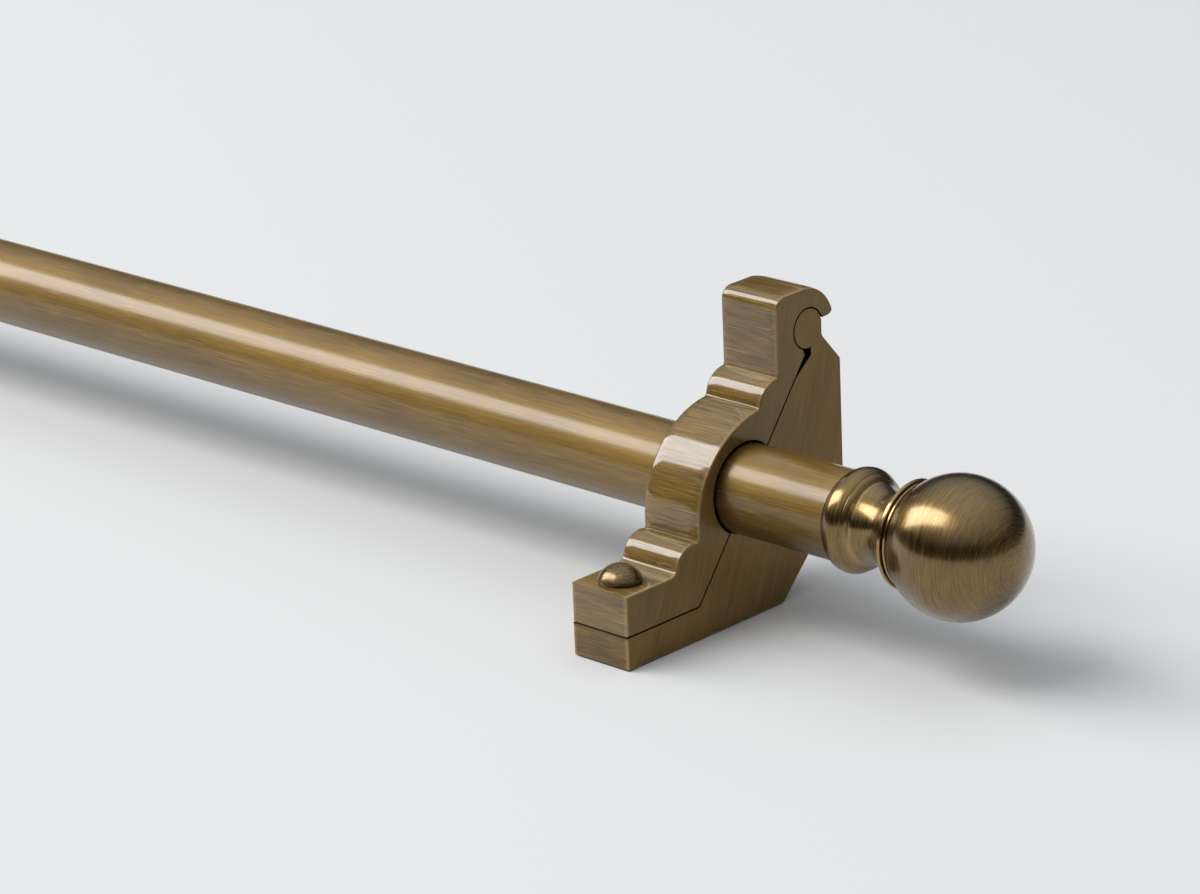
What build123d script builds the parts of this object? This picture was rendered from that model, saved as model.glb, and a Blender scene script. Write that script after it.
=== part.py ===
from build123d import *
import os
from math import cos, radians, sin, sqrt, tan

# A stair carpet rod: a brass tube with a ball finial on each end, held across the foot of a
# riser by two hinged brackets. Each bracket is a wedge-shaped base, cut from a drawn section,
# and a cover that swings on a round bead at the top of the base and is closed by one bolt.
# X runs along the rod, Y from the front of the brackets' feet to the riser, and Z up.
# The origin lies on the tread, under the middle of the rod and of the brackets' depth.
# Sections are drawn with y = 0 on the riser and z = 0 on the tread, so y is negative.

# Rod
rod_diameter = 16.0
rod_wall = 1.2
rod_length = 762.0
rod_edge_break = 0.25

# Place of the rod in the stair's corner
rod_to_riser = 17.4
rod_to_tread = 15.8
end_overhang = 23.9

# Fits
seat_clearance = 0.05
bore_clearance = 0.3
knuckle_clearance = 0.15
parting_gap = 0.2
insert_clearance = 0.03
thread_clearance = 0.05

# Bracket section
bracket_width = 12.7
back_corner_cut = 16.5
parting_height = 5.8
parting_angle = 52.2
parting_behind_axis = 0.9

# Hinge at the top of the bracket
hinge_above_rod = 29.6
hinge_above_parting = 2.2
bead_radius = 3.6
neck_height = 2.1
shoulder_angle = 49.0
shoulder_round = 1.2
relief_side = 0.55
relief_height = 4.9
relief_angle = 37.7

# Cover, from the foot up
foot_height = 13.2
foot_length = 12.65
foot_cove_length = 1.65
foot_cove_rise = 0.75
lower_round_radius = 4.38
lower_round_length = 5.72
brow_radius_over_rod = 9.9
brow_back = 5.3
brow_down = 4.6
brow_start_down = 1.57
upper_round_radius = 5.02
upper_round_length = 4.9
corner_line_radius = 0.35
head_depth = 8.25
head_root_down = 6.6
nose_radius = 2.4
hook_radius = 8.0
hook_center_front = 0.9
hook_center_down = 0.57
hook_tip_rise = 1.0
hook_tip_round = 0.9
hook_tip_inner = 3.95
hook_start_angle = 32.0
hook_end_angle = 249.0
lip_drop = 4.5

# Bolt that closes the cover
bolt_radius = 2.0
bolt_hole_clearance = 0.15
bolt_from_front = 5.4
bolt_thread_core = 1.65
bolt_head_radius = 3.85
bolt_head_height = 3.1
bolt_head_rim = 0.7
bolt_tip_chamfer = 0.4

# Hole for the fixing screw, through the base into the stair's corner
fixing_hole_radius = 2.25
fixing_sink_radius = 4.2
fixing_sink_depth = 0.3

# Finial, measured outwards from the rod's end
collar_rise = 1.2
collar_peak = 2.4
collar_length = 5.3
collar_end_drop = 2.0
cove_depth = 3.6
flange_start = 13.2
flange_width = 0.75
flange_radius = 9.55
flange_edge_round = 0.25
groove_width = 0.33
groove_depth = 0.5
ring_width = 0.4
ball_radius = 12.45
ball_center = 23.36

# Threaded end fittings
insert_length = 16.0
stud_radius = 3.0
stud_in_rod = 13.0
stud_in_finial = 14.0
stud_chamfer = 0.5
stud_end_space = 1.0

# Places in the bracket's section
rod_radius = rod_diameter / 2
rod_y = -(rod_to_riser + rod_radius)
rod_z = rod_to_tread + rod_radius
slope = radians(parting_angle)
along = (cos(slope), sin(slope))
behind = (sin(slope), -cos(slope))
hinge_offset = parting_behind_axis - hinge_above_parting
hinge_y = rod_y + hinge_above_rod * along[0] + hinge_offset * behind[0]
hinge_z = rod_z + hinge_above_rod * along[1] + hinge_offset * behind[1]
brow_radius = rod_radius + brow_radius_over_rod
brow_y = rod_y + brow_back
brow_z = rod_z - brow_down
brow_start = (brow_y - sqrt(brow_radius**2 - brow_start_down**2), brow_z - brow_start_down)
foot_line = (brow_start[0] - lower_round_length, foot_height + foot_cove_rise)
bracket_depth = foot_length - foot_line[0]
head_front = hinge_y - head_depth
head_root = (head_front, hinge_z - head_root_down)
brow_end_y = head_front - upper_round_length
brow_end = (brow_end_y, brow_z + sqrt(brow_radius**2 - (brow_end_y - brow_y) ** 2))

# Places in the whole object
riser_y = bracket_depth / 2
rod_end = rod_length / 2
bracket_outer = rod_end - end_overhang
rod_center_y = riser_y + rod_y
bolt_y = riser_y - bracket_depth + bolt_from_front
sides = (("right", 1), ("left", -1))


def on_parting(height, offset):
    """The point of the sloping parting face at a height, moved off the face to its front."""
    from_axis = parting_behind_axis - offset
    y = rod_y + (from_axis + (height - rod_z) * along[0]) / along[1]
    return (y, height)


def round_the_hinge(radius, angle):
    """A point on a circle about the hinge line, with the angle counted from the riser side."""
    turn = radians(angle)
    return (hinge_y + radius * cos(turn), hinge_z + radius * sin(turn))


def section_plane(sign):
    """The plane of a bracket's section at the bracket's left face."""
    left_face = bracket_outer - bracket_width if sign > 0 else -bracket_outer
    return Plane(origin=(left_face, riser_y, 0), x_dir=(0, 1, 0), z_dir=(1, 0, 0))


def turning_plane(sign):
    """A plane through the rod's axis, with its x pointing out of one end of the rod."""
    return Plane(origin=(sign * rod_end, rod_center_y, rod_z), x_dir=(sign, 0, 0), z_dir=(0, -sign, 0))


def middle_of_bracket(sign):
    return sign * (bracket_outer - bracket_width / 2)


os.makedirs("parts", exist_ok=True)

# Rod tube
with BuildPart() as rod_tube:
    with BuildSketch(Plane(origin=(-rod_end, rod_center_y, rod_z), x_dir=(0, 1, 0), z_dir=(1, 0, 0))):
        Circle(rod_radius)
        Circle(rod_radius - rod_wall, mode=Mode.SUBTRACT)
    extrude(amount=rod_length)
    rims = rod_tube.edges().filter_by(GeomType.CIRCLE).sort_by(SortBy.RADIUS)[-2:]
    chamfer(rims, rod_edge_break)
rod_tube.part.label = "rod_tube"
export_step(rod_tube.part, "parts/rod_tube.step")

for side, sign in sides:
    rod_line = Axis(origin=(0, rod_center_y, rod_z), direction=(sign, 0, 0))

    # Tapped plug in the end of the tube
    with BuildPart() as end_insert:
        with BuildSketch(turning_plane(sign)):
            with BuildLine():
                insert_radius = rod_radius - rod_wall - insert_clearance
                tapped_radius = stud_radius + thread_clearance
                Polyline(
                    (-insert_length, tapped_radius),
                    (-insert_length, insert_radius),
                    (0, insert_radius),
                    (0, tapped_radius),
                    close=True,
                )
            make_face()
        revolve(axis=rod_line)
    end_insert.part.label = side + "_end_insert"
    export_step(end_insert.part, f"parts/{side}_end_insert.step")

    # Stud that joins the finial to the plug
    with BuildPart() as finial_stud:
        with BuildSketch(turning_plane(sign)):
            with BuildLine():
                Polyline(
                    (-stud_in_rod, 0),
                    (-stud_in_rod, stud_radius - stud_chamfer),
                    (-stud_in_rod + stud_chamfer, stud_radius),
                    (stud_in_finial - stud_chamfer, stud_radius),
                    (stud_in_finial, stud_radius - stud_chamfer),
                    (stud_in_finial, 0),
                    close=True,
                )
            make_face()
        revolve(axis=rod_line)
    finial_stud.part.label = side + "_finial_stud"
    export_step(finial_stud.part, f"parts/{side}_finial_stud.step")

    # Turned finial: collar, cove, thin flange, groove and ball
    with BuildPart() as finial:
        with BuildSketch(turning_plane(sign)) as finial_profile:
            with BuildLine():
                socket_radius = stud_radius + thread_clearance
                socket_depth = stud_in_finial + stud_end_space
                collar_end = (collar_length, rod_radius + collar_rise - collar_end_drop)
                flange_foot = (flange_start, flange_radius - flange_edge_round)
                flange_end = flange_start + flange_width
                ring_start = flange_end + groove_width
                ring_end = ring_start + ring_width
                ball_start = ring_end + groove_width
                ring_radius = sqrt(ball_radius**2 - (ball_center - ball_start) ** 2)
                groove_radius = ring_radius - groove_depth
                Polyline((socket_depth, 0), (socket_depth, socket_radius), (0, socket_radius), (0, rod_radius))
                ThreePointArc((0, rod_radius), (collar_peak, rod_radius + collar_rise), collar_end)
                SagittaArc(collar_end, flange_foot, -cove_depth)
                Polyline(
                    flange_foot,
                    (flange_start, flange_radius),
                    (flange_end, flange_radius),
                    (flange_end, groove_radius),
                    (ring_start, groove_radius),
                    (ring_start, ring_radius),
                    (ring_end, ring_radius),
                    (ring_end, groove_radius),
                    (ball_start, groove_radius),
                    (ball_start, ring_radius),
                )
                RadiusArc((ball_start, ring_radius), (ball_center + ball_radius, 0), ball_radius)
                Line((ball_center + ball_radius, 0), (socket_depth, 0))
            make_face()
            rim = finial_profile.vertices().sort_by_distance((flange_end, flange_radius))[:1]
            fillet(rim, flange_edge_round)
        revolve(axis=rod_line)
    finial.part.label = side + "_finial"
    export_step(finial.part, f"parts/{side}_finial.step")

    # Bracket base: foot, sloping back, rod seat, neck and hinge bead
    with BuildPart() as bracket_base:
        with BuildSketch(section_plane(sign)) as base_section:
            neck_back = hinge_y + bead_radius
            neck_foot = hinge_z - neck_height
            shoulder_foot = neck_foot + neck_back * tan(radians(shoulder_angle))
            bead_end = (hinge_y + relief_side, hinge_z - sqrt(bead_radius**2 - relief_side**2))
            relief_top = (hinge_y + relief_side, hinge_z - relief_height)
            # The relief leaves the neck's front and runs down to the parting face
            fall = tan(radians(relief_angle))
            rise = tan(slope)
            parting_at_relief = on_parting(relief_top[1], 0)[0]
            relief_run = (relief_top[0] - parting_at_relief) * rise / (rise - fall)
            relief_foot = (relief_top[0] - relief_run, relief_top[1] - relief_run * fall)
            with BuildLine():
                Polyline(
                    relief_foot,
                    on_parting(parting_height, 0),
                    (-bracket_depth, parting_height),
                    (-bracket_depth, 0),
                    (-back_corner_cut, 0),
                    (0, back_corner_cut),
                    (0, shoulder_foot),
                    (neck_back, neck_foot),
                    (neck_back, hinge_z),
                )
                ThreePointArc((neck_back, hinge_z), round_the_hinge(bead_radius, 140), bead_end)
                Polyline(bead_end, relief_top, relief_foot)
            make_face()
            shoulder = base_section.vertices().sort_by_distance((0, shoulder_foot))[:1]
            fillet(shoulder, shoulder_round)
            with Locations((rod_y, rod_z)):
                Circle(rod_radius + seat_clearance, mode=Mode.SUBTRACT)
        extrude(amount=bracket_width)
        seat_depth = (rod_radius + seat_clearance + fixing_sink_depth) / sqrt(2)
        sink_place = (middle_of_bracket(sign), rod_center_y + seat_depth, rod_z - seat_depth)
        with Locations(Plane(origin=sink_place, z_dir=(0, -1, 1))):
            CounterSinkHole(fixing_hole_radius, fixing_sink_radius, depth=rod_to_riser + rod_to_tread)
        with Locations((middle_of_bracket(sign), bolt_y, parting_height)):
            Hole(bolt_thread_core, depth=parting_height)
    bracket_base.part.label = side + "_bracket_base"
    export_step(bracket_base.part, f"parts/{side}_bracket_base.step")

    # Bracket cover: foot, two small rounds with the brow between them, head and hook
    with BuildPart() as bracket_cover:
        with BuildSketch(section_plane(sign)) as cover_section:
            cover_bottom = parting_height + parting_gap
            hook_y = hinge_y - hook_center_front
            hook_z = hinge_z - hook_center_down
            head_top = hook_z + hook_radius
            tip_z = hinge_z + hook_tip_rise
            tip_outer = (hook_y + sqrt(hook_radius**2 - (tip_z - hook_z) ** 2), tip_z)
            hook_inner = bead_radius + knuckle_clearance
            hook_start = round_the_hinge(hook_inner, hook_start_angle)
            hook_middle = round_the_hinge(hook_inner, (hook_start_angle + hook_end_angle) / 2)
            hook_end = round_the_hinge(hook_inner, hook_end_angle)
            with BuildLine():
                Polyline(
                    hook_end,
                    on_parting(hinge_z - lip_drop, parting_gap),
                    on_parting(cover_bottom, parting_gap),
                    (-bracket_depth, cover_bottom),
                    (-bracket_depth, foot_height),
                    (foot_line[0] - foot_cove_length, foot_height),
                )
                TangentArc((foot_line[0] - foot_cove_length, foot_height), foot_line, tangent=(1, 0))
                RadiusArc(foot_line, brow_start, lower_round_radius)
                RadiusArc(brow_start, brow_end, brow_radius)
                RadiusArc(brow_end, head_root, upper_round_radius)
                Line(head_root, (head_front, head_top - nose_radius))
                TangentArc(
                    (head_front, head_top - nose_radius),
                    (head_front + nose_radius, head_top),
                    tangent=(0, 1),
                )
                Line((head_front + nose_radius, head_top), (hook_y, head_top))
                RadiusArc((hook_y, head_top), tip_outer, hook_radius)
                Polyline(tip_outer, (hinge_y + hook_tip_inner, tip_z), hook_start)
                ThreePointArc(hook_start, hook_middle, hook_end)
            make_face()
            for corner in (brow_start, brow_end, head_root):
                fillet(cover_section.vertices().sort_by_distance(corner)[:1], corner_line_radius)
            fillet(cover_section.vertices().sort_by_distance(tip_outer)[:1], hook_tip_round)
            with Locations((rod_y, rod_z)):
                Circle(rod_radius + bore_clearance, mode=Mode.SUBTRACT)
        extrude(amount=bracket_width)
        with Locations((middle_of_bracket(sign), bolt_y, foot_height)):
            Hole(bolt_radius + bolt_hole_clearance, depth=foot_height - parting_height)
    bracket_cover.part.label = side + "_bracket_cover"
    export_step(bracket_cover.part, f"parts/{side}_bracket_cover.step")

    # Dome-headed bolt, whose end is level with the cover's underside
    with BuildPart() as cover_bolt:
        bolt_plane = Plane(origin=(middle_of_bracket(sign), bolt_y, 0), x_dir=(1, 0, 0), z_dir=(0, -1, 0))
        with BuildSketch(bolt_plane):
            with BuildLine():
                head_rim = foot_height + bolt_head_rim
                head_crown = foot_height + bolt_head_height
                Polyline(
                    (0, head_crown),
                    (0, cover_bottom),
                    (bolt_radius - bolt_tip_chamfer, cover_bottom),
                    (bolt_radius, cover_bottom + bolt_tip_chamfer),
                    (bolt_radius, foot_height),
                    (bolt_head_radius, foot_height),
                    (bolt_head_radius, head_rim),
                )
                dome = bolt_head_height - bolt_head_rim
                dome_radius = (bolt_head_radius**2 + dome**2) / (2 * dome)
                RadiusArc((bolt_head_radius, head_rim), (0, head_crown), -dome_radius)
            make_face()
        revolve(axis=Axis(origin=bolt_plane.origin, direction=(0, 0, 1)))
    cover_bolt.part.label = side + "_cover_bolt"
    export_step(cover_bolt.part, f"parts/{side}_cover_bolt.step")
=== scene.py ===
import bpy
import bmesh
import math
import numpy as np
from mathutils import Matrix, Vector
from mathutils.bvhtree import BVHTree
from mathutils.kdtree import KDTree


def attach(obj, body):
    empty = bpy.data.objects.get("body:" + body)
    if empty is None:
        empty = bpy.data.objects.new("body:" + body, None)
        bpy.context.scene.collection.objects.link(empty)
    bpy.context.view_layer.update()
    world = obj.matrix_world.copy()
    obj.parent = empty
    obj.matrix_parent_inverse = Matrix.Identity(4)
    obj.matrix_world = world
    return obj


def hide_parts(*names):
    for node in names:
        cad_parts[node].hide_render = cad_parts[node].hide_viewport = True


# The stair rod in antique brass, dressed over the CAD model. Lengths in the section tables are
# millimetres; everything that goes into Blender is metres, in the CAD model's own frame.

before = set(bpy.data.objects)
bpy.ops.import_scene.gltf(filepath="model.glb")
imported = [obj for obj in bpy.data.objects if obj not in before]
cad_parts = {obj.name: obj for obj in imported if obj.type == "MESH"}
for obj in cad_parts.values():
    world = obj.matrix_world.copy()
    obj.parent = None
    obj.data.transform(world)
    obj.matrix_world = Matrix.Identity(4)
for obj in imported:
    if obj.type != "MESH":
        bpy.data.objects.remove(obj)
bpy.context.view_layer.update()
MM = 0.001

# Rod and its place in the section: y is 0 on the riser and negative in front, z is 0 on the tread
ROD_RADIUS = 8.0
ROD_END = 381.0
ROD_WALL = 1.2
ROD_Y, ROD_Z = -25.4, 23.8
RISER_Y = 28.1505
BRACKET_OUTER = 357.1
BRACKET_WIDTH = 12.7
BRACKET_MIDDLE = BRACKET_OUTER - BRACKET_WIDTH / 2

# Bracket section
DEPTH = 56.301
PARTING = 5.8
SLOPE = math.radians(52.2)
BEHIND_AXIS = 0.9
GAP = 0.2
HINGE_Y, HINGE_Z = -8.2855, 47.985
BEAD = 3.6
BOLT_Y = -DEPTH + 5.4
LEAN = math.radians(19)


# Curves of the section


def on_parting(z, offset):
    """The sloping parting face at height z, moved to the front by an offset."""
    y = ROD_Y + (BEHIND_AXIS - offset + (z - ROD_Z) * math.cos(SLOPE)) / math.sin(SLOPE)
    return (y, z)


def run(a, b, step=0.35):
    """Points evenly along a straight line from a, up to but not at b."""
    a, b = np.array(a, float), np.array(b, float)
    n = max(2, int(np.hypot(*(b - a)) / step))
    t = np.arange(n)[:, None] / n
    return a + (b - a) * t


def turn(centre, radius, start, end, step=0.2):
    """Points on a circle: centre plus radius times (cos, sin), from one angle in degrees to another."""
    n = max(6, int(abs(math.radians(end - start)) * radius / step))
    a = np.radians(start + (end - start) * np.arange(n) / n)
    return np.stack([centre[0] + radius * np.cos(a), centre[1] + radius * np.sin(a)], 1)


def swell(a, b, radius, side=1, step=0.2):
    """The shorter arc of a given radius from a to b. It swells to the left of the way for side 1 and to the
    right for side -1."""
    a, b = np.array(a, float), np.array(b, float)
    half = np.hypot(*(b - a)) / 2
    way = (b - a) / (2 * half)
    left = np.array([-way[1], way[0]])
    centre = (a + b) / 2 - side * left * math.sqrt(radius**2 - half**2)
    a0 = math.degrees(math.atan2(*(a - centre)[::-1]))
    a1 = math.degrees(math.atan2(*(b - centre)[::-1]))
    sweep = (a1 - a0 + 180) % 360 - 180
    return turn(centre, radius, a0, a0 + sweep, step)


def on_circle(centre, radius, angle):
    """The point of a circle at an angle in degrees."""
    a = math.radians(angle)
    return (centre[0] + radius * math.cos(a), centre[1] + radius * math.sin(a))


def joined(parts):
    """Joins stretches of (points, edge round, roll, soften) into one closed outline, with those three values
    for each of its points."""
    points = np.concatenate([p for p, _, _, _ in parts])
    values = np.concatenate([np.tile(v, (len(p), 1)) for p, *v in parts])
    return points, values


def hidden_in_joint(round_edge):
    """1 on the faces that meet in a joint, which have the smallest edge rounds, and 0 on those that show. Dark
    painted shade goes where it is 1.
    """
    largest, blend = 0.17, 0.05
    return np.clip((largest - round_edge) / blend, 0, 1)


def bore_ends(radius, ahead):
    """Where a bore round the rod's axis meets a parting face that lies ahead of the axis: the upper and the
    lower point, and their angles in degrees."""
    reach = math.sqrt(radius**2 - ahead**2)
    off = np.array([math.sin(SLOPE), -math.cos(SLOPE)]) * ahead
    way = np.array([math.cos(SLOPE), math.sin(SLOPE)])
    axis = np.array([ROD_Y, ROD_Z])
    upper, lower = axis + off + way * reach, axis + off - way * reach
    up_a = math.degrees(math.atan2(upper[1] - ROD_Z, upper[0] - ROD_Y))
    low_a = math.degrees(math.atan2(lower[1] - ROD_Z, lower[0] - ROD_Y))
    return upper, lower, up_a, low_a


def cover_outline():
    """The cover's section, clockwise from the foot's lower front corner. Its values are the round of the
    edge, its roll and the softening of corners."""
    bottom = PARTING + GAP
    foot_top = 13.2
    cove_r, lower_round, upper_round, head_round = 2.2, 4.38, 5.02, 2.4
    brow_y, brow_z, brow_r = ROD_Y + 5.3, ROD_Z - 4.6, 17.9
    brow_drop = 1.57
    brow_start = (brow_y - math.sqrt(brow_r**2 - brow_drop**2), brow_z - brow_drop)
    foot_line = (brow_start[0] - 5.72, 13.95)
    cove_start = (foot_line[0] - 1.65, foot_top)
    head_front = HINGE_Y - 8.25
    head_root = (head_front, HINGE_Z - 6.6)
    brow_end_y = head_front - 4.9
    brow_end = (brow_end_y, brow_z + math.sqrt(brow_r**2 - (brow_end_y - brow_y) ** 2))
    hook, hook_r = (HINGE_Y - 0.9, HINGE_Z - 0.57), 8.0
    top = hook[1] + hook_r
    tip_z, tip_round = HINGE_Z + 1.0, 0.95
    tip_mid = tip_z + tip_round
    tip = (hook[0] + math.sqrt((hook_r - tip_round) ** 2 - (tip_mid - hook[1]) ** 2), tip_mid)
    tip_a = math.degrees(math.atan2(tip[1] - hook[1], tip[0] - hook[0]))
    hinge, inner = (HINGE_Y, HINGE_Z), BEAD + 0.15
    wrap_start, wrap_end = 32, 249
    mouth = (HINGE_Y + 3.95, tip_z)
    neck = on_parting(HINGE_Z - 4.5, GAP)
    bore = 8.3
    upper, lower, up_a, low_a = bore_ends(bore, BEHIND_AXIS - GAP)
    return joined([
        (run((-DEPTH, bottom), (-DEPTH, foot_top)), 0.3, 0.25, 0.1),
        (run((-DEPTH, foot_top), cove_start), 0.3, 0.1, 0.1),
        (swell(cove_start, foot_line, cove_r, -1), 0.3, 0.3, 0.16),
        (swell(foot_line, brow_start, lower_round), 0.3, 0.8, 0.24),
        (swell(brow_start, brow_end, brow_r), 0.3, 1.0, 0.24),
        (swell(brow_end, head_root, upper_round), 0.3, 0.9, 0.24),
        (run(head_root, (head_front, top - head_round)), 0.3, 0.9, 0.24),
        (turn((head_front + head_round, top - head_round), head_round, 180, 90), 0.3, 0.9, 0.0),
        (run((head_front + head_round, top), (hook[0], top)), 0.3, 0.8, 0.0),
        (turn(hook, hook_r, 90, tip_a), 0.3, 0.7, 0.0),
        (turn(tip, tip_round, tip_a, -90, 0.1), 0.3, 0.5, 0.0),
        (run((tip[0], tip_z), mouth, 0.25), 0.2, 0.0, 0.15),
        (run(mouth, on_circle(hinge, inner, wrap_start), 0.2), 0.08, 0.0, 0.05),
        (turn(hinge, inner, wrap_start, wrap_end), 0.06, 0.0, 0.03),
        (run(on_circle(hinge, inner, wrap_end), neck, 0.2), 0.06, 0.0, 0.03),
        (run(neck, upper), 0.05, 0.0, 0.03),
        (turn((ROD_Y, ROD_Z), bore, up_a, low_a % 360), 0.16, 0.0, 0.03),
        (run(lower, on_parting(bottom, GAP)), 0.05, 0.0, 0.03),
        (run(on_parting(bottom, GAP), (-DEPTH, bottom)), 0.05, 0.0, 0.03),
    ])


def base_outline():
    """The base's section, clockwise from the foot's lower front corner, with the same three values."""
    back = HINGE_Y + BEAD
    neck = HINGE_Z - 2.1
    shoulder = neck + back * math.tan(math.radians(49.0))
    bead_over = 0.55
    end_y = HINGE_Y + bead_over
    bead_end = (end_y, HINGE_Z - math.sqrt(BEAD**2 - bead_over**2))
    relief = (end_y, HINGE_Z - 4.9)
    rise, fall = math.tan(SLOPE), math.tan(math.radians(37.7))
    across = (relief[0] - on_parting(relief[1], 0)[0]) * rise / (rise - fall)
    relief_foot = (relief[0] - across, relief[1] - across * fall)
    corner = 16.5
    seat = 8.05
    upper, lower, up_a, low_a = bore_ends(seat, BEHIND_AXIS)
    end_a = math.degrees(math.atan2(bead_end[1] - HINGE_Z, bead_end[0] - HINGE_Y)) % 360
    return joined([
        (run((-DEPTH, 0), (-DEPTH, PARTING)), 0.25, 0.0, 0.08),
        (run((-DEPTH, PARTING), on_parting(PARTING, 0)), 0.05, 0.0, 0.03),
        (run(on_parting(PARTING, 0), lower), 0.05, 0.0, 0.03),
        (turn((ROD_Y, ROD_Z), seat, low_a, up_a), 0.1, 0.0, 0.03),
        (run(upper, relief_foot), 0.05, 0.0, 0.03),
        (run(relief_foot, relief, 0.25), 0.06, 0.0, 0.03),
        (run(relief, bead_end, 0.2), 0.06, 0.0, 0.06),
        (turn((HINGE_Y, HINGE_Z), BEAD, end_a, 0, 0.15), 0.08, 0.0, 0.03),
        (run((back, HINGE_Z), (back, neck), 0.25), 0.15, 0.0, 0.1),
        (run((back, neck), (0, shoulder)), 0.2, 0.0, 0.5),
        (run((0, shoulder), (0, corner)), 0.2, 0.0, 0.12),
        (run((0, corner), (-corner, 0)), 0.2, 0.0, 0.12),
        (run((-corner, 0), (-DEPTH, 0)), 0.2, 0.0, 0.12),
    ])


# Surfaces from grids


def ring_distance(points):
    """Distance along a closed outline to each of its points, and the whole length."""
    legs = np.hypot(*(np.roll(points, -1, 0) - points).T)
    return np.concatenate([[0], np.cumsum(legs)[:-1]]), legs.sum()


def softened(points, reach):
    """Each point becomes the mean of the outline near it, weighted by a bell curve as wide as its reach."""
    s, whole = ring_distance(points)
    gap = np.abs(s[:, None] - s[None, :])
    gap = np.minimum(gap, whole - gap)
    share = (np.roll(s, -1) - np.roll(s, 1)) % whole
    weight = np.exp(-0.5 * (gap / np.maximum(reach, 0.02)[:, None]) ** 2) * share[None, :]
    return (weight @ points) / weight.sum(1)[:, None]


def mitres(points):
    """The outward mitre at each point of a clockwise outline: the sum of its two edges' normals over one plus
    their product."""
    edge = np.roll(points, -1, 0) - points
    edge /= np.maximum(np.hypot(*edge.T), 1e-9)[:, None]
    normal = np.stack([-edge[:, 1], edge[:, 0]], 1)
    before = np.roll(normal, 1, 0)
    return (normal + before) / np.maximum(1 + (normal * before).sum(1), 0.35)[:, None]


def mesh_of(name, points, faces, attributes):
    """A mesh object from arrays of points and faces, with float attributes per point."""
    mesh = bpy.data.meshes.new(name)
    mesh.from_pydata(points.tolist(), [], faces)
    for label, values in attributes.items():
        layer = mesh.attributes.new(label, "FLOAT", "POINT")
        layer.data.foreach_set("value", np.asarray(values, np.float32))
    mesh.shade_smooth()
    obj = bpy.data.objects.new(name, mesh)
    bpy.context.scene.collection.objects.link(obj)
    return obj


def ring_faces(rows, columns):
    """Quads between neighbouring rows of a grid of points, with each row closed into a ring."""
    i, j = [v.ravel() for v in np.meshgrid(np.arange(rows - 1), np.arange(columns), indexing="ij")]
    n, m = i + 1, (j + 1) % columns
    return np.stack([i * columns + j, n * columns + j, n * columns + m, i * columns + m], 1).tolist()


def bracket_piece(name, outline, sign):
    """A section carried across the bracket's width. Each edge is a quarter round of its own size. Where the
    outline has roll, the surface also falls away towards both edges, as drop times roll times
    (1 - distance / reach) squared."""
    roll_drop, roll_reach = 0.3, 2.2
    blend_reach, wear_reach = 0.35, 0.45
    points, values = outline
    round_edge, roll, soft = values.T
    smooth = softened(points, soft)
    s, whole = ring_distance(points)
    gap = np.abs(s[:, None] - s[None, :])
    gap = np.minimum(gap, whole - gap)
    weight = np.exp(-0.5 * (gap / blend_reach) ** 2)
    weight /= weight.sum(1)[:, None]
    # Painted shade: the faces that meet in a joint are marked to be made dark
    joint_shade = hidden_in_joint(round_edge)
    round_edge, roll = weight @ round_edge, weight @ roll
    out = mitres(smooth)
    # Across the width: the flat ring, the round in steps, then the front surface to the middle
    quarter = np.radians([0, 15, 30, 45, 60, 75, 90])
    inset = [round_edge + 0.05] + [round_edge * (1 - np.sin(a)) for a in quarter]
    depth = [np.zeros_like(round_edge)] + [round_edge * (1 - np.cos(a)) for a in quarter]
    for d in (0.08, 0.25, 0.5, 0.8, 1.15, 1.6, 2.0):
        inset.append(np.zeros_like(round_edge))
        depth.append(round_edge + d)
    inset, depth = np.array(inset), np.array(depth)
    fall = roll * roll_drop * np.maximum(0, 1 - depth / roll_reach) ** 2
    inset = inset + fall
    wear = np.exp(-((depth + inset - 0.1) / wear_reach) ** 2) * (1 - joint_shade)
    wear[0] = 0
    joint_shade = np.broadcast_to(joint_shade, depth.shape) * (inset < round_edge + 0.04)
    half = BRACKET_WIDTH / 2
    inset = np.concatenate([inset, inset[::-1]])
    depth = np.concatenate([depth, BRACKET_WIDTH - depth[::-1]])
    wear = np.concatenate([wear, wear[::-1]])
    joint_shade = np.concatenate([joint_shade, joint_shade[::-1]])
    y = smooth[None, :, 0] - out[None, :, 0] * inset
    z = smooth[None, :, 1] - out[None, :, 1] * inset
    x = np.broadcast_to(sign * BRACKET_MIDDLE + half - depth, y.shape)
    rows, columns = y.shape
    xyz = np.stack([x, y + RISER_Y, z], -1).reshape(-1, 3) * MM
    faces = ring_faces(rows, columns)
    faces.append(list(range(columns)))
    faces.append(list(range((rows - 1) * columns, rows * columns))[::-1])
    # wear marks the rubbed edges; the joint value marks where shade is painted
    return mesh_of(name, xyz, faces, {"wear": wear.ravel(), "joint_shade": joint_shade.ravel()})


def turned(name, profile, axis_point, axis_way, around=192, wear=None):
    """A profile of (distance along the axis, radius) turned round an axis. Its ends lie on the axis or meet,
    so that merging doubles closes it."""
    profile = np.asarray(profile, float)
    along, radius = profile.T
    way = np.array(axis_way, float)
    side = np.array([0, 1.0, 0]) if abs(way[1]) < 0.5 else np.array([1.0, 0, 0])
    other = np.cross(way, side)
    a = 2 * np.pi * np.arange(around) / around
    ring = np.cos(a)[:, None] * side + np.sin(a)[:, None] * other
    xyz = np.array(axis_point, float) + along[:, None, None] * way + radius[:, None, None] * ring[None]
    rows = len(profile)
    wear = np.repeat(np.zeros(rows) if wear is None else wear, around)
    return mesh_of(name, xyz.reshape(-1, 3) * MM, ring_faces(rows, around), {"wear": wear})


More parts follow.
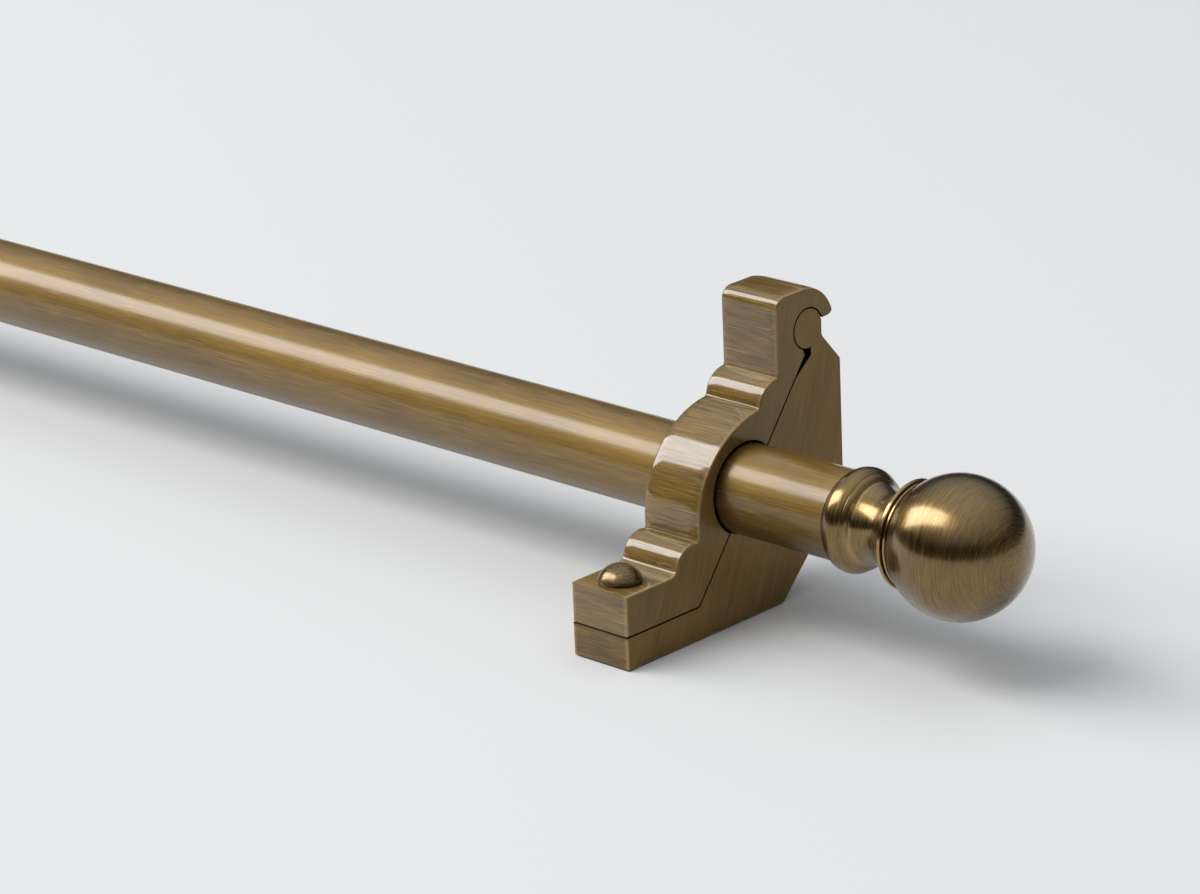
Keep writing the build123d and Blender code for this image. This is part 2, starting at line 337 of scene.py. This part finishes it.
def tidy_mesh(obj, angle=32):
    """Merges doubles, points the faces outwards and keeps edges sharper than an angle crisp."""
    bm = bmesh.new()
    bm.from_mesh(obj.data)
    bmesh.ops.remove_doubles(bm, verts=bm.verts, dist=1e-7)
    bmesh.ops.recalc_face_normals(bm, faces=bm.faces)
    bm.to_mesh(obj.data)
    bm.free()
    obj.data.set_sharp_from_angle(angle=math.radians(angle))
    return obj


def carried_over(before, after):
    """Gives the cut mesh the wear and joint shade values of the whole one. A point that was there keeps its
    own. A new point on the old surface takes the mean of its face. A point inside a hole gets no wear and
    half of the joints' painted shade, so the holes are painted darker inside."""
    same_point, on_surface = 1e-6, 2e-6
    count = len(before.vertices)
    old = {label: np.empty(count) for label in ("wear", "joint_shade")}
    for label, values in old.items():
        before.attributes[label].data.foreach_get("value", values)
    points = [v.co.copy() for v in before.vertices]
    corners = [tuple(face.vertices) for face in before.polygons]
    near_point, near_face = KDTree(count), BVHTree.FromPolygons(points, corners)
    for i, point in enumerate(points):
        near_point.insert(point, i)
    near_point.balance()
    new = {"wear": np.zeros(len(after.vertices)), "joint_shade": np.full(len(after.vertices), 0.5)}
    for k, vertex in enumerate(after.vertices):
        _, i, away = near_point.find(vertex.co)
        _, _, face, off = near_face.find_nearest(vertex.co)
        if away < same_point:
            share = [i]
        elif off < on_surface:
            share = list(corners[face])
        else:
            continue
        for label, values in new.items():
            values[k] = old[label][share].mean()
    for label, values in new.items():
        layer = after.attributes.get(label) or after.attributes.new(label, "FLOAT", "POINT")
        layer.data.foreach_set("value", values.astype(np.float32))


def bored(obj, cutters):
    """Cuts the cutters out of a piece for good, and removes them."""
    for cutter in cutters:
        change = obj.modifiers.new("bore", "BOOLEAN")
        change.operation = "DIFFERENCE"
        change.solver = "EXACT"
        change.object = cutter
    bpy.context.view_layer.update()
    mesh = bpy.data.meshes.new_from_object(obj.evaluated_get(bpy.context.evaluated_depsgraph_get()))
    obj.modifiers.clear()
    carried_over(obj.data, mesh)
    obj.data = mesh
    for cutter in cutters:
        bpy.data.objects.remove(cutter)
    return obj


# Finial, rod and bolt


def smooth_line(knots, steps):
    """A Catmull-Rom curve through knots: the cubic through each pair with slopes from their neighbours."""
    k = np.array(knots, float)
    k = np.concatenate([[2 * k[0] - k[1]], k, [2 * k[-1] - k[-2]]])
    t = np.linspace(0, len(knots) - 1, steps)
    i = np.minimum(t.astype(int), len(knots) - 2)
    f = (t - i)[:, None]
    a, b, c, d = k[i], k[i + 1], k[i + 2], k[i + 3]
    return 0.5 * (2 * b + (c - a) * f + (2 * a - 5 * b + 4 * c - d) * f**2 + (3 * b - a - 3 * c + d) * f**3)


def make_finial(side, sign):
    """The finial, bored for its stud: a collar with a tooling line, a cove, a thin flange, a groove with a
    ring in it, and a ball."""
    ball_r, ball_x = 12.45, 23.36
    ball_start = 15.01
    ring_r = math.sqrt(ball_r**2 - (ball_x - ball_start) ** 2)
    floor_r, shoulder_r = ring_r - 0.5, ring_r - 0.08
    socket = [(15.0, 0.0), (15.0, 3.05), (0.02, 3.05)]
    collar = smooth_line([(0.02, 8.0), (0.55, 8.62), (1.4, 9.08), (2.4, 9.2), (3.3, 8.98), (4.0, 8.5)], 60)
    line = [(4.02, 8.44), (4.12, 8.36), (4.24, 8.42)]
    cove_start, cove_end = (5.3, 7.2), (13.2, 9.3)
    edge = smooth_line([(4.3, 8.42), (4.8, 8.0), cove_start], 16)
    cove = swell(cove_start, cove_end, 6.13, -1, 0.12)
    flange = [cove_end, (13.24, 9.46), (13.34, 9.55), (13.76, 9.55), (13.88, 9.5), (13.95, 9.36)]
    groove = [(13.95, floor_r), (14.28, floor_r), (14.28, shoulder_r), (14.36, ring_r), (14.6, ring_r),
              (14.68, shoulder_r), (14.68, floor_r), (ball_start, floor_r), (ball_start, ring_r - 0.02)]
    t = np.linspace(math.pi - math.atan2(ring_r, ball_x - ball_start), 0, 110)
    ball = np.stack([ball_x + ball_r * np.cos(t), ball_r * np.sin(t)], 1)
    profile = np.concatenate([socket, collar, line, edge, cove, flange, groove, ball])

    def worn(x, width):
        """A bell curve along the axis, on the outer surface only."""
        return np.exp(-((profile[:, 0] - x) / width) ** 2) * (profile[:, 1] > 6)

    wear = np.clip(worn(5.2, 0.35) + worn(13.6, 0.4) + worn(14.5, 0.25), 0, 1)
    place = (sign * ROD_END, ROD_Y + RISER_Y, ROD_Z)
    return tidy_mesh(turned(side + "_turned_finial", profile, place, (sign, 0, 0), 224, wear), 38)


def make_rod():
    """The tube: outside, broken rims and inside, turned round the rod's axis."""
    e, r, inside_r = ROD_END, ROD_RADIUS, ROD_RADIUS - ROD_WALL
    rim = 0.25
    xs = np.linspace(-e + rim, e - rim, 120)
    outside = np.stack([xs, np.full_like(xs, r)], 1)
    right_end, left_end = [(e, r - rim), (e, inside_r)], [(-e, inside_r), (-e, r - rim)]
    profile = np.concatenate([left_end, outside, right_end, left_end[:1]])
    return tidy_mesh(turned("brass_rod", profile, (0, ROD_Y + RISER_Y, ROD_Z), (1, 0, 0), 128), 35)


def make_bolt(side, sign):
    """The bolt: a shank under a dome of revolution, with a short upright rim and a rounded lower edge."""
    rim, crown, head_r = 13.85, 16.3, 3.85
    height = crown - rim
    dome_r = (head_r**2 + height**2) / (2 * height)
    a = math.asin(head_r / dome_r) * (1 - np.linspace(0, 1, 28))
    dome = np.stack([crown - dome_r + dome_r * np.cos(a), dome_r * np.sin(a)], 1)
    shank = [(6.0, 0), (6.0, 1.6), (6.4, 2.0), (13.2, 2.0)]
    lower_edge = [(13.2, 3.62), (13.26, 3.78), (13.4, 3.85), (13.75, 3.86)]
    profile = np.concatenate([shank, lower_edge, dome])
    place = (sign * BRACKET_MIDDLE, BOLT_Y + RISER_Y, 0)
    return tidy_mesh(turned(side + "_dome_bolt", profile, place, (0, 0, 1), 96), 40)


def drill(name, profile, place, way):
    """A cutter turned from a profile of (distance along its axis, radius)."""
    return tidy_mesh(turned(name, profile, place, way, 64), 40)


def straight_drill(name, bottom, top, radius, place):
    """An upright cutter of one radius."""
    return drill(name, [(bottom, 0), (bottom, radius), (top, radius), (top, 0)], place, (0, 0, 1))


def make_bracket(side, sign):
    """A bracket's base and cover, with the wood screw's hole and the bolt's holes cut through them."""
    x = sign * BRACKET_MIDDLE
    bolt_axis = (x, BOLT_Y + RISER_Y, 0)
    sink_start, sink_r, screw_r, tapped_r, clear_r = 8.35, 4.2, 2.25, 1.65, 2.15
    base = tidy_mesh(bracket_piece(side + "_wedge_base", base_outline(), sign))
    way = np.array([0, 1, -1]) / math.sqrt(2)
    seat = np.array([x, ROD_Y + RISER_Y, ROD_Z]) + way * sink_start
    sink = [(-3, 0), (-3, sink_r), (0, sink_r), (1.95, screw_r), (24, screw_r), (24, 0)]
    fixing = drill("drill_fixing", sink, seat, way)
    tapped = straight_drill("drill_tapped", -2, 7, tapped_r, bolt_axis)
    bored(base, [fixing, tapped])
    cover = tidy_mesh(bracket_piece(side + "_hinged_cover", cover_outline(), sign))
    bored(cover, [straight_drill("drill_clear", 4, 15, clear_r, bolt_axis)])
    for piece in (base, cover):
        piece.data.set_sharp_from_angle(angle=math.radians(32))
    return base, cover


# Finishes


def group(name, inputs, outputs):
    """An empty shader node group with the named sockets."""
    tree = bpy.data.node_groups.new(name, "ShaderNodeTree")
    for label, kind, value in inputs:
        socket = tree.interface.new_socket(label, in_out="INPUT", socket_type=kind)
        if value is not None:
            socket.default_value = value
    for label, kind in outputs:
        tree.interface.new_socket(label, in_out="OUTPUT", socket_type=kind)
    return tree


def calc(tree, operation, a, b=None, c=None, clamp=False):
    """A Math node; each of a, b and c is a socket or a number."""
    n = tree.nodes.new("ShaderNodeMath")
    n.operation = operation
    n.use_clamp = clamp
    for i, v in enumerate((a, b, c)):
        if v is None:
            continue
        if isinstance(v, (int, float)):
            n.inputs[i].default_value = v
        else:
            tree.links.new(v, n.inputs[i])
    return n.outputs[0]


def noise(tree, vector, around, detail, rough):
    """Noise from 0 to 1, with around as its fourth coordinate."""
    n = tree.nodes.new("ShaderNodeTexNoise")
    n.noise_dimensions = "4D"
    n.inputs["Scale"].default_value = 1.0
    n.inputs["Detail"].default_value = detail
    n.inputs["Roughness"].default_value = rough
    tree.links.new(around, n.inputs["W"])
    tree.links.new(vector, n.inputs["Vector"])
    return n.outputs["Fac"]


def spread(tree, value, low, high, out_low=0.0, out_high=1.0):
    """Map Range, clamped."""
    n = tree.nodes.new("ShaderNodeMapRange")
    n.clamp = True
    for key, v in (("From Min", low), ("From Max", high), ("To Min", out_low), ("To Max", out_high)):
        n.inputs[key].default_value = v
    tree.links.new(value, n.inputs["Value"])
    return n.outputs["Result"]


def blended(tree, factor, a, b):
    """A Mix node for colours; each of a and b is a socket or a colour."""
    n = tree.nodes.new("ShaderNodeMix")
    n.data_type = "RGBA"
    ins = [s for s in n.inputs if s.type == "RGBA"]
    for socket, v in zip(ins, (a, b)):
        if isinstance(v, tuple):
            socket.default_value = (*v, 1)
        else:
            tree.links.new(v, socket)
    tree.links.new(factor, n.inputs[0])
    return [s for s in n.outputs if s.type == "RGBA"][0]


def grain_group():
    """Brushed grain. Coordinates come in with the grain along X. Out come fine lines, wider streaks, slow
    clouds and sparse hairlines, each from 0 to 1."""
    tree = group("brushed grain",
                 [("Vector", "NodeSocketVector", None), ("Around", "NodeSocketFloat", 0.0)],
                 [("Lines", "NodeSocketFloat"), ("Streaks", "NodeSocketFloat"), ("Clouds", "NodeSocketFloat"),
                  ("Hairs", "NodeSocketFloat")])
    inn, out = tree.nodes.new("NodeGroupInput"), tree.nodes.new("NodeGroupOutput")

    def layer(label, along, across, detail, rough, low, high, shift=0.0):
        """Noise stretched along X, with its values from low to high spread over 0 to 1."""
        m = tree.nodes.new("ShaderNodeMapping")
        m.inputs["Location"].default_value = (shift, shift, shift)
        m.inputs["Scale"].default_value = (along, across, across)
        tree.links.new(inn.outputs["Vector"], m.inputs["Vector"])
        around = calc(tree, "MULTIPLY", inn.outputs["Around"], along)
        value = noise(tree, m.outputs["Vector"], around, detail, rough)
        tree.links.new(spread(tree, value, low, high), out.inputs[label])

    layer("Lines", 150, 5400, 2.0, 0.6, 0.25, 0.75)
    layer("Streaks", 60, 2300, 3.0, 0.7, 0.3, 0.7, 3.1)
    layer("Clouds", 32, 95, 3.0, 0.6, 0.3, 0.7, 5.7)
    layer("Hairs", 110, 4300, 1.0, 0.5, 0.58, 0.76, 9.3)
    return tree


def brass_group():
    """Antique brass from its grain: a colour between dark patina, brass and rubbed edge, with painted shade on
    the faces inside joints and a lighter painted reflection on the flat sides, and with the roughness, the
    height of the brushing and the share of lacquer."""
    inputs = (("Lines", 0.5), ("Streaks", 0.5), ("Clouds", 0.5), ("Hairs", 0.0), ("Wear", 0.0),
              ("Joint Shade", 0.0), ("Flat", 0.0), ("Bright", 0.5), ("Grain", 1.0), ("Base Roughness", 0.32))
    tree = group("antique brass", [(label, "NodeSocketFloat", value) for label, value in inputs],
                 [("Color", "NodeSocketColor"), ("Roughness", "NodeSocketFloat"), ("Height", "NodeSocketFloat"),
                  ("Lacquer", "NodeSocketFloat")])
    inn, out = tree.nodes.new("NodeGroupInput"), tree.nodes.new("NodeGroupOutput")
    i = inn.outputs

    def part(label, share, middle=0.5):
        """An input's distance from its middle value, times its share."""
        return calc(tree, "MULTIPLY", calc(tree, "SUBTRACT", i[label], middle), share)

    grain = calc(tree, "ADD", part("Lines", 0.5), part("Streaks", 0.2))
    grain = calc(tree, "ADD", grain, part("Hairs", 0.4, 0.1))
    # The brushing shows less on the flat sides than on the fronts
    contrast = calc(tree, "SUBTRACT", i["Grain"], calc(tree, "MULTIPLY", i["Flat"], 0.35))
    grain = calc(tree, "MULTIPLY", grain, contrast)
    mask = calc(tree, "ADD", calc(tree, "ADD", grain, part("Clouds", 0.18)), i["Bright"])
    # Painted reflection: the flat sides get a lighter brass, standing in for light from a pale wall beside them
    # that the scene leaves out
    mask = calc(tree, "ADD", mask, calc(tree, "MULTIPLY", i["Flat"], 0.25), clamp=True)
    patina, brass = (0.028, 0.015, 0.002), (0.4, 0.244, 0.066)
    rubbed, joint_shade_colour = (0.5, 0.34, 0.14), (0.04, 0.026, 0.012)
    colour = blended(tree, mask, patina, brass)
    colour = blended(tree, calc(tree, "MULTIPLY", i["Wear"], 0.5), colour, rubbed)
    # Painted shade: the faces inside joints and holes are made nearly black-brown
    colour = blended(tree, i["Joint Shade"], colour, joint_shade_colour)
    rough = calc(tree, "ADD", i["Base Roughness"], part("Lines", 0.2))
    rough = calc(tree, "SUBTRACT", rough, calc(tree, "MULTIPLY", i["Wear"], 0.06), clamp=True)
    lacquer = calc(tree, "SUBTRACT", 1.0, calc(tree, "MULTIPLY", i["Flat"], 0.6))
    lined = calc(tree, "ADD", 0.75, calc(tree, "MULTIPLY", i["Lines"], 0.35))
    lacquer = calc(tree, "MULTIPLY", lacquer, lined)
    lacquer = calc(tree, "MULTIPLY", lacquer, calc(tree, "SUBTRACT", 1.0, i["Joint Shade"], clamp=True), clamp=True)
    tree.links.new(colour, out.inputs["Color"])
    tree.links.new(rough, out.inputs["Roughness"])
    height = calc(tree, "ADD", i["Lines"], calc(tree, "MULTIPLY", i["Streaks"], 0.5))
    tree.links.new(height, out.inputs["Height"])
    tree.links.new(lacquer, out.inputs["Lacquer"])
    return tree


GRAIN = grain_group()
BRASS = brass_group()


def grain_on_bracket(tree, place, lean):
    """A bracket's grain: along X on the fronts, and up the flat sides with a lean. Gives its coordinates, its
    direction, and a mask that is 1 on the flat sides."""
    flat_from = 0.7
    c, s = math.cos(lean), math.sin(lean)
    split = tree.nodes.new("ShaderNodeSeparateXYZ")
    tree.links.new(place, split.inputs[0])
    y, z = split.outputs["Y"], split.outputs["Z"]
    up = calc(tree, "ADD", calc(tree, "MULTIPLY", z, c), calc(tree, "MULTIPLY", y, s))
    over = calc(tree, "SUBTRACT", calc(tree, "MULTIPLY", y, c), calc(tree, "MULTIPLY", z, s))
    upright = tree.nodes.new("ShaderNodeCombineXYZ")
    tree.links.new(up, upright.inputs[0])
    tree.links.new(over, upright.inputs[1])
    tree.links.new(split.outputs["X"], upright.inputs[2])
    facing = tree.nodes.new("ShaderNodeSeparateXYZ")
    tree.links.new(tree.nodes.new("ShaderNodeNewGeometry").outputs["True Normal"], facing.inputs[0])
    flat = calc(tree, "GREATER_THAN", calc(tree, "ABSOLUTE", facing.outputs["X"]), flat_from)
    pick = tree.nodes.new("ShaderNodeMix")
    pick.data_type = "VECTOR"
    front, side_face = [v for v in pick.inputs if v.type == "VECTOR"][-2:]
    tree.links.new(flat, pick.inputs[0])
    tree.links.new(place, front)
    tree.links.new(upright.outputs[0], side_face)
    slope = tree.nodes.new("ShaderNodeCombineXYZ")
    tree.links.new(calc(tree, "SUBTRACT", 1.0, flat), slope.inputs[0])
    tree.links.new(calc(tree, "MULTIPLY", flat, s), slope.inputs[1])
    tree.links.new(calc(tree, "MULTIPLY", flat, c), slope.inputs[2])
    return [v for v in pick.outputs if v.type == "VECTOR"][0], slope.outputs[0], flat


def grain_round_axis(tree, place, way, centre):
    """A turned piece's grain, in rings round the X or Z axis through centre. Gives its coordinates, the one
    that goes with them around the axis, and its direction."""
    smallest_radius, stretch = 0.0002, 0.02
    moved = tree.nodes.new("ShaderNodeVectorMath")
    moved.operation = "SUBTRACT"
    tree.links.new(place, moved.inputs[0])
    moved.inputs[1].default_value = centre
    split = tree.nodes.new("ShaderNodeSeparateXYZ")
    tree.links.new(moved.outputs[0], split.inputs[0])
    a, b, along = ("Y", "Z", "X") if way == "turned X" else ("X", "Y", "Z")
    u, v = split.outputs[a], split.outputs[b]
    radius = calc(tree, "SQRT", calc(tree, "ADD", calc(tree, "MULTIPLY", u, u), calc(tree, "MULTIPLY", v, v)))
    safe = calc(tree, "MAXIMUM", radius, smallest_radius)
    ring = tree.nodes.new("ShaderNodeCombineXYZ")
    # A slow change round the axis stands for the length along the grain
    tree.links.new(calc(tree, "MULTIPLY", calc(tree, "DIVIDE", u, safe), stretch), ring.inputs[0])
    tree.links.new(split.outputs[along], ring.inputs[1])
    tree.links.new(radius, ring.inputs[2])
    circle = tree.nodes.new("ShaderNodeVectorMath")
    circle.operation = "CROSS_PRODUCT"
    tree.links.new(moved.outputs[0], circle.inputs[0])
    circle.inputs[1].default_value = (1, 0, 0) if way == "turned X" else (0, 0, 1)
    around = calc(tree, "MULTIPLY", calc(tree, "DIVIDE", v, safe), stretch)
    return ring.outputs[0], around, circle.outputs[0]


def brass_finish(name, way="X", bright=0.5, rough=0.5, coat_rough=0.12, coat_ior=1.5, bump=0.06,
                 anisotropy=0.8, contrast=1.0, lean=0.0, centre=None):
    """A lacquered antique brass. way is the grain's direction: X along the rod, side for a bracket, with its
    fronts along X and its flat sides up, turned X or turned Z for a piece turned round that axis."""
    material = bpy.data.materials.new(name)
    material.use_nodes = True
    tree = material.node_tree
    tree.nodes.clear()
    place = tree.nodes.new("ShaderNodeTexCoord").outputs["Object"]
    grain = tree.nodes.new("ShaderNodeGroup")
    grain.node_tree = GRAIN
    brass = tree.nodes.new("ShaderNodeGroup")
    brass.node_tree = BRASS
    scratch = tree.nodes.new("ShaderNodeVectorTransform")
    scratch.vector_type, scratch.convert_from, scratch.convert_to = "VECTOR", "OBJECT", "WORLD"
    if way == "X":
        tree.links.new(place, grain.inputs["Vector"])
        scratch.inputs[0].default_value = (1, 0, 0)
    elif way == "side":
        where, direction, flat = grain_on_bracket(tree, place, lean)
        tree.links.new(where, grain.inputs["Vector"])
        tree.links.new(direction, scratch.inputs[0])
        tree.links.new(flat, brass.inputs["Flat"])
    else:
        where, around, direction = grain_round_axis(tree, place, way, centre)
        tree.links.new(where, grain.inputs["Vector"])
        tree.links.new(around, grain.inputs["Around"])
        tree.links.new(direction, scratch.inputs[0])
    wear = tree.nodes.new("ShaderNodeAttribute")
    wear.attribute_name = "wear"
    for label in ("Lines", "Streaks", "Clouds", "Hairs"):
        tree.links.new(grain.outputs[label], brass.inputs[label])
    tree.links.new(wear.outputs["Fac"], brass.inputs["Wear"])
    # The dark painted shade inside joints and holes comes from this attribute
    joint_shade = tree.nodes.new("ShaderNodeAttribute")
    joint_shade.attribute_name = "joint_shade"
    tree.links.new(joint_shade.outputs["Fac"], brass.inputs["Joint Shade"])
    brass.inputs["Bright"].default_value = bright
    brass.inputs["Grain"].default_value = contrast
    brass.inputs["Base Roughness"].default_value = rough
    bumped = tree.nodes.new("ShaderNodeBump")
    bumped.inputs["Strength"].default_value = bump
    bumped.inputs["Distance"].default_value = 0.0002
    tree.links.new(brass.outputs["Height"], bumped.inputs["Height"])
    shader = tree.nodes.new("ShaderNodeBsdfPrincipled")
    shader.inputs["Metallic"].default_value = 1.0
    tree.links.new(brass.outputs["Lacquer"], shader.inputs["Coat Weight"])
    shader.inputs["Coat Roughness"].default_value = coat_rough
    shader.inputs["Coat IOR"].default_value = coat_ior
    shader.inputs["Anisotropic"].default_value = anisotropy
    shader.inputs["Anisotropic Rotation"].default_value = 0.25
    tree.links.new(scratch.outputs[0], shader.inputs["Tangent"])
    tree.links.new(brass.outputs["Color"], shader.inputs["Base Color"])
    tree.links.new(brass.outputs["Roughness"], shader.inputs["Roughness"])
    tree.links.new(bumped.outputs["Normal"], shader.inputs["Normal"])
    output = tree.nodes.new("ShaderNodeOutputMaterial")
    tree.links.new(shader.outputs[0], output.inputs["Surface"])
    return material


def dress(obj, node_name, body, finish):
    """Gives a piece its finish and its body, and hides the CAD node that it stands for."""
    obj.data.materials.clear()
    obj.data.materials.append(finish)
    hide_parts(node_name)
    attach(obj, body)


ROD_AXIS = ((ROD_Y + RISER_Y) * MM, ROD_Z * MM)
rod_finish = brass_finish("rod brushed brass", "X", bright=0.39, rough=0.52, coat_rough=0.2, contrast=0.5)
base_finish = brass_finish("base brushed brass", "side", bright=0.31, rough=0.52, coat_rough=0.16, lean=LEAN)
cover_finish = brass_finish("cover brushed brass", "side", bright=0.35, rough=0.6, coat_rough=0.1,
                            coat_ior=1.7, lean=LEAN)
dress(make_rod(), "rod_tube", "rod_and_bases", rod_finish)
for side, sign in (("right", 1), ("left", -1)):
    finial_place = (sign * ROD_END * MM, *ROD_AXIS)
    finial_finish = brass_finish(side + " finial turned brass", "turned X", bright=0.44, rough=0.29,
                                 coat_rough=0.15, anisotropy=0.6, contrast=0.7, centre=finial_place)
    bolt_place = (sign * BRACKET_MIDDLE * MM, (BOLT_Y + RISER_Y) * MM, 0.0)
    bolt_finish = brass_finish(side + " bolt bronzed brass", "turned Z", bright=0.32, rough=0.34,
                               coat_rough=0.1, bump=0.04, anisotropy=0.2, centre=bolt_place)
    base, cover = make_bracket(side, sign)
    dress(base, side + "_bracket_base", "rod_and_bases", base_finish)
    dress(cover, side + "_bracket_cover", side + "_cover", cover_finish)
    dress(make_finial(side, sign), side + "_finial", "rod_and_bases", finial_finish)
    dress(make_bolt(side, sign), side + "_cover_bolt", side + "_cover", bolt_finish)
    for hidden, finish in ((side + "_end_insert", rod_finish), (side + "_finial_stud", base_finish)):
        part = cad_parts[hidden]
        part.data.materials.clear()
        part.data.materials.append(finish)


# Studio


def pale_floor():
    """A wide pale sheet just under the feet."""
    mesh = bpy.data.meshes.new("floor")
    r, z = 9.0, -0.0003
    mesh.from_pydata([(-r, -r, z), (r, -r, z), (r, r, z), (-r, r, z)], [], [(0, 1, 2, 3)])
    floor = bpy.data.objects.new("floor", mesh)
    bpy.context.scene.collection.objects.link(floor)
    material = bpy.data.materials.new("pale paper")
    material.use_nodes = True
    shader = material.node_tree.nodes["Principled BSDF"]
    shader.inputs["Base Color"].default_value = (0.66, 0.66, 0.655, 1)
    shader.inputs["Roughness"].default_value = 0.75
    mesh.materials.append(material)


def softbox(name, place, turned_by, width, height, power):
    """A rectangular lamp at a place, turned by a matrix of its own three axes."""
    light = bpy.data.lights.new(name, "AREA")
    light.shape = "RECTANGLE"
    light.size, light.size_y = width, height
    light.energy = power
    lamp = bpy.data.objects.new(name, light)
    lamp.location = place
    lamp.rotation_mode = "QUATERNION"
    lamp.rotation_quaternion = turned_by.to_quaternion()
    bpy.context.scene.collection.objects.link(lamp)


def studio():
    """The floor, one lamp to the left, in front and above, and a world that is bright overhead and dim near
    the horizon."""
    pale_floor()
    target = Vector((0.35, 0.0, 0.03))
    # The lamp's long side lies along long and its short side along short
    toward = Vector((-0.643, -0.402, 0.652)).normalized()
    short = Vector((0, 0.845, 0.536)).normalized()
    long = toward.cross(short).normalized()
    axes = Matrix((long, -short, toward)).transposed()
    far = 2.7
    softbox("key", target + (toward - long * 0.2) * far, axes, 1.35 * far, 0.43 * far, 84)
    world = bpy.data.worlds.new("studio")
    bpy.context.scene.world = world
    world.use_nodes = True
    tree = world.node_tree
    back = tree.nodes["Background"]
    way = tree.nodes.new("ShaderNodeSeparateXYZ")
    tree.links.new(tree.nodes.new("ShaderNodeTexCoord").outputs["Generated"], way.inputs[0])
    glow = spread(tree, way.outputs["Z"], 0.3, 1.0, 0.04, 1.15)
    back.inputs["Color"].default_value = (0.93, 0.96, 1.0, 1)
    tree.links.new(glow, back.inputs["Strength"])


def photo_camera():
    """The camera at the photograph's place, with its lens."""
    data = bpy.data.cameras.new("camera")
    data.sensor_fit = "HORIZONTAL"
    data.sensor_width = 36.0
    data.lens = 143.68
    data.clip_start, data.clip_end = 0.01, 50
    camera = bpy.data.objects.new("camera", data)
    right = Vector((0.7267, 0.6857, -0.0418)).normalized()
    ahead = Vector((-0.6565, 0.6753, -0.3363)).normalized()
    up = right.cross(ahead).normalized()
    turn_to = Matrix((right, up, -ahead)).transposed().to_4x4()
    turn_to.translation = Vector((0.8766, -0.5671, 0.3076))
    camera.matrix_world = turn_to
    bpy.context.scene.collection.objects.link(camera)
    bpy.context.scene.camera = camera


studio()
photo_camera()
bpy.context.scene.view_settings.view_transform = "Standard"
bpy.context.view_layer.update()
